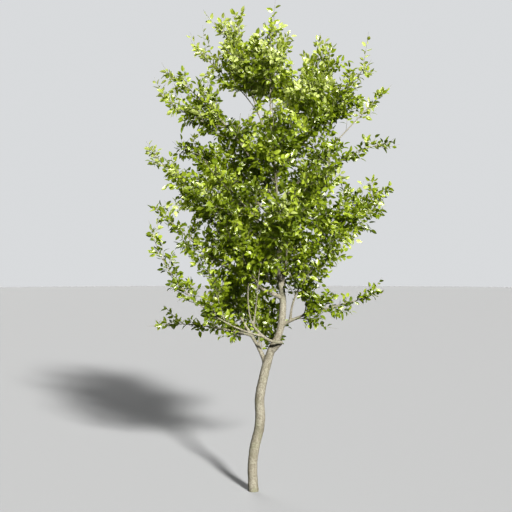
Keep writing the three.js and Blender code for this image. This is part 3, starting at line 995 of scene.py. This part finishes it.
def make_twig_tree():
    """A round tube along every chain of edges, as thick as the attribute thickness says."""
    geometry = "NodeSocketGeometry"
    nodes, given, made = new_group(
        "Twig tubes",
        "GeometryNodeTree",
        {"Lines": geometry, "Sides": "NodeSocketInt", "Bark": "NodeSocketMaterial"},
        {"Twigs": geometry},
    )
    thickness = nodes.result("GeometryNodeInputNamedAttribute", {"Name": "thickness"})
    curves = nodes.result("GeometryNodeMeshToCurve", {"Mesh": given["Lines"]})
    ring = nodes.result("GeometryNodeCurvePrimitiveCircle", {"Resolution": given["Sides"], "Radius": 1.0})
    tubes = nodes.result(
        "GeometryNodeCurveToMesh",
        {"Curve": curves, "Profile Curve": ring, "Scale": thickness, "Fill Caps": True},
    )
    smooth = nodes.result("GeometryNodeSetShadeSmooth", {"Geometry": tubes})
    whole = nodes.result("GeometryNodeRealizeInstances", {"Geometry": smooth})
    dressed = nodes.result("GeometryNodeSetMaterial", {"Geometry": whole, "Material": given["Bark"]})
    nodes.feed(made, {"Twigs": dressed})


def make_twigs(name, paths, sides, material):
    """One piece from many lines. Each path is a list of points and a list of radii."""
    points = [point * MM for places, _ in paths for point in places]
    radii = [radius * MM for _, row in paths for radius in row]
    edges, first = [], 0
    for places, _ in paths:
        edges += [(first + i, first + i + 1) for i in range(len(places) - 1)]
        first += len(places)
    attributes = {"thickness": ("FLOAT", radii)}
    return grow_piece(name, points, edges, attributes, "Twig tubes", {"Sides": sides, "Bark": material})


def tapered(line, steps, radius_at, low=0):
    """A path along a line from a share of it to its end."""
    shares = [low + (1 - low) * i / steps for i in range(steps + 1)]
    return [line.point(share) for share in shares], [radius_at(share) for share in shares]


def straight_taper(foot, tip):
    return lambda share: (foot + (tip - foot) * share) / 2


# Leaves

LEAF_STATIONS = (0.0, 0.09, 0.26, 0.46, 0.68, 0.87, 1.0)
LEAF_SHAPES = {  # fold of the halves, arch along the length and sideways curl
    "flat": (0.16, 0.10, 0.03),
    "folded": (0.42, 0.16, -0.05),
    "drooping": (0.24, 0.34, 0.06),
}
LEAF_FULLNESS = 2.56  # brings the widest part to the full width
LEAF_ROUNDING, LEAF_POINTING = 0.55, 0.85  # powers that shape the outline towards the foot and the tip
LEAF_RISE = 0.06  # how steeply a leaf rises at its foot
LEAF_STALK_RADII = (0.8, 0.5)
LEAF_STALK_SIDES = 3


def leaf_half_width(along):
    """A pointed oval, widest below its middle, with a drawn-out tip."""
    return LEAF_WIDTH / 2 * LEAF_FULLNESS * along**LEAF_ROUNDING * (1 - along) ** LEAF_POINTING


def leaf_blade(name, fold, arch, curl):
    """One leaf on its stalk, from the origin along +Y, with its upper side to +Z."""
    bm = bmesh.new()
    spots = bm.loops.layers.uv.new("leaf")
    mapped = {}

    def vertex(across, along, aside, lift):
        found = bm.verts.new(Vector((across, along, lift)) * MM)
        mapped[found] = (aside, along)
        return found

    rows = []
    for along in LEAF_STATIONS:
        half = leaf_half_width(along)
        lift = LEAF_LENGTH * (LEAF_RISE * along - arch * along * along)
        bend = LEAF_LENGTH * curl * along * along
        y = LEAF_STALK + LEAF_LENGTH * along
        middle = vertex(bend, y, 0.5, lift)
        if half < 0.01:
            rows.append((middle, middle, middle))
            continue
        edges = [vertex(bend + s * half, y, 0.5 + s / 2, lift + fold * half) for s in (-1, 1)]
        rows.append((edges[0], middle, edges[1]))
    for a, b in zip(rows, rows[1:]):
        for side in (0, 1):
            corners = (a[side], a[side + 1], b[side + 1], b[side])
            bm.faces.new(tuple(dict.fromkeys(corners)))
        bm.edges.get((a[1], b[1])).smooth = False
    turns = [2 * math.pi * (k / LEAF_STALK_SIDES + 0.25) for k in range(LEAF_STALK_SIDES)]

    def ring(along, radius):
        return [vertex(radius * math.cos(t), along, 0.5, radius * math.sin(t)) for t in turns]

    foot, neck = ring(0, LEAF_STALK_RADII[0]), ring(LEAF_STALK + 1, LEAF_STALK_RADII[1])
    for k in range(LEAF_STALK_SIDES):
        after = (k + 1) % LEAF_STALK_SIDES
        bm.faces.new((foot[k], neck[k], neck[after], foot[after]))
    for face in bm.faces:
        for loop in face.loops:
            aside, along = mapped[loop.vert]
            loop[spots].uv = (aside, max(along - LEAF_STALK, 0) / LEAF_LENGTH)
    mesh = mesh_from(bm, name)
    mesh.shade_smooth()
    return mesh


def make_leaf_tree():
    """A leaf on every point, turned and sized by the point's attributes, its shape drawn by lot."""
    geometry, whole_number = "NodeSocketGeometry", "NodeSocketInt"
    nodes, given, made = new_group(
        "Leaves on points",
        "GeometryNodeTree",
        {"Points": geometry, "Leaf shapes": "NodeSocketCollection", "Shape count": whole_number,
         "Seed": whole_number, "Green": "NodeSocketMaterial"},
        {"Leaves": geometry},
    )
    shapes = nodes.result(
        "GeometryNodeCollectionInfo",
        {"Collection": given["Leaf shapes"], "Separate Children": True, "Reset Children": True},
    )
    pose = nodes.result("GeometryNodeInputNamedAttribute", {"Name": "pose"}, data_type="QUATERNION")
    size = nodes.result("GeometryNodeInputNamedAttribute", {"Name": "size"})
    last = nodes.math("SUBTRACT", given["Shape count"], 1.0)
    lot = nodes.add("FunctionNodeRandomValue", {"Seed": given["Seed"]}, data_type="INT")
    for socket in lot.inputs:
        if socket.name == "Max" and socket.type == "INT":
            nodes.tree.links.new(last, socket)
    drawn = next(socket for socket in lot.outputs if socket.type == "INT")
    placed = nodes.result(
        "GeometryNodeInstanceOnPoints",
        {"Points": given["Points"], "Instance": shapes, "Pick Instance": True, "Instance Index": drawn,
         "Rotation": pose, "Scale": size},
    )
    whole = nodes.result("GeometryNodeRealizeInstances", {"Geometry": placed})
    dressed = nodes.result("GeometryNodeSetMaterial", {"Geometry": whole, "Material": given["Green"]})
    nodes.feed(made, {"Leaves": dressed})


def make_leaves(name, leaves, shapes, seed, material):
    """One piece from many leaves of one colour."""
    poses = []
    for leaf in leaves:
        across = leaf.direction.cross(leaf.normal)
        poses += Matrix((across, leaf.direction, leaf.normal)).transposed().to_quaternion()[:]
    attributes = {"pose": ("QUATERNION", poses), "size": ("FLOAT", [leaf.size for leaf in leaves])}
    inputs = {"Leaf shapes": shapes, "Shape count": len(LEAF_SHAPES), "Seed": seed, "Green": material}
    points = [leaf.foot * MM for leaf in leaves]
    return grow_piece(name, points, [], attributes, "Leaves on points", inputs)


# Tree

trunk = TrunkLine()
limbs = grow_limbs(trunk)
foliage = Foliage(trunk, limbs)
foliage.grow()

make_bark_group()
make_leaf_group()
make_twig_tree()
make_leaf_tree()

bark = make_bark(trunk, limbs, bark_material("bark", BARK_TONES, marks=0.45, relief=0.004))
twig_bark = bark_material("twig_bark", TWIG_TONES, marks=0.3, relief=0.0015)

stem_paths = [
    tapered(stem, STEM_STEPS, stem.radius, max(stem.bare - STEM_OVERLAP, 0)) for stem in foliage.stems
]
woody = [make_twigs("stems", stem_paths, STEM_SIDES, twig_bark)]
for name, (steps, sides, foot, tip) in TUBES.items():
    paths = [tapered(line, steps, straight_taper(foot, tip)) for line in getattr(foliage, name)]
    woody.append(make_twigs(name, paths, sides, twig_bark))

leaf_shapes = bpy.data.collections.new("leaf_shapes")
for shape_name, bends in LEAF_SHAPES.items():
    blade = leaf_blade(shape_name, *bends)
    leaf_shapes.objects.link(bpy.data.objects.new("leaf_" + shape_name, blade))
leafy = []
for seed, (colour, leaves) in enumerate(foliage.leaves.items()):
    green = leaf_material("leaf_" + colour, LEAF_COLOURS[colour])
    leafy.append(make_leaves("leaves_" + colour, leaves, leaf_shapes, seed, green))
for shape in list(leaf_shapes.objects):
    bpy.data.objects.remove(shape)
bpy.data.collections.remove(leaf_shapes)

# Pieces and what they stand for

wood_nodes = [node for node in frame["nodes"] if not node.startswith("foliage_")]
mass_nodes = [node for node in frame["nodes"] if node.startswith("foliage_")]
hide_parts(*wood_nodes)
for piece in [*woody, *leafy]:
    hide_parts(*mass_nodes)
for piece in [bark, *woody, *leafy]:
    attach(piece, "root")

# Floor, light and camera

FLOOR_RADIUS = 60
FLOOR_COLOUR = (0.295, 0.311, 0.350, 1)
VIEW_WIDTH = 5.274  # what the picture's width spans at the tree, in metres
CAMERA_DISTANCE = 8.7
CAMERA_RIGHT, CAMERA_HEIGHT = 0.026, 2.42
SENSOR_WIDTH = 36
SKY_LIGHT, SKY_LOOK = 0.045, 0.72


def make_floor():
    """A wide level floor that throws no light back at the tree."""
    bm = bmesh.new()
    bmesh.ops.create_circle(bm, cap_ends=True, segments=96, radius=FLOOR_RADIUS)
    mesh = mesh_from(bm, "floor")
    material, nodes, shader = new_material("floor")
    nodes.feed(shader, {"Base Color": FLOOR_COLOUR, "Roughness": 0.95, "Specular IOR Level": 0.1})
    mesh.materials.append(material)
    floor = add_object("floor", mesh)
    floor.visible_diffuse = floor.visible_glossy = False


def make_light(name, kind, place, target, power, colour, gleams=False, **settings):
    """A light aimed at a target. Only one that gleams shows in glossy leaves."""
    lamp = bpy.data.lights.new(name, kind)
    lamp.energy, lamp.color = power, colour
    for setting, value in settings.items():
        setattr(lamp, setting, value)
    light = add_object(name, lamp)
    light.location = place
    light.rotation_euler = (Vector(target) - Vector(place)).to_track_quat("-Z", "Y").to_euler()
    light.visible_camera = False
    light.visible_glossy = gleams


def make_surroundings():
    """A dim soft sky that looks pale itself, a key from the upper right, a weak fill and a back light."""
    world = bpy.data.worlds.new("studio")
    world.use_nodes = True
    nodes = Nodes(world.node_tree)
    dim = world.node_tree.nodes["Background"]
    nodes.feed(dim, {"Color": (1.0, 0.98, 0.92, 1), "Strength": SKY_LIGHT})
    pale = nodes.result("ShaderNodeBackground", {"Color": (0.96, 0.98, 1.0, 1), "Strength": SKY_LOOK})
    seen = nodes.add("ShaderNodeLightPath").outputs["Is Camera Ray"]
    sky = nodes.result("ShaderNodeMixShader", {0: seen, 1: dim.outputs[0], 2: pale})
    nodes.feed(world.node_tree.nodes["World Output"], {"Surface": sky})
    bpy.context.scene.world = world
    make_light(
        "key", "SUN", (3.6, -8.2, 6.8), (0.2, 0, 2.6),
        power=12.0, colour=(1.0, 0.95, 0.84), gleams=True, angle=math.radians(7),
    )
    make_light(
        "fill", "AREA", (-2.5, -9.5, 3.2), (0, 0, 3.0),
        power=50, colour=(1.0, 0.98, 0.92), shape="DISK", size=3,
    )
    make_light(
        "back", "SUN", (-3.0, 8.5, 7.0), (0, 0, 3.0),
        power=2.6, colour=(1.0, 0.96, 0.86), angle=math.radians(40),
    )


def make_camera():
    camera = bpy.data.cameras.new("camera")
    camera.sensor_width = SENSOR_WIDTH
    camera.lens = SENSOR_WIDTH * CAMERA_DISTANCE / VIEW_WIDTH
    viewer = add_object("camera", camera)
    viewer.location = (CAMERA_RIGHT, -CAMERA_DISTANCE, CAMERA_HEIGHT)
    viewer.rotation_euler = (math.radians(90), 0, 0)
    bpy.context.scene.camera = viewer


make_floor()
make_surroundings()
make_camera()
bpy.context.scene.view_settings.view_transform = "Standard"
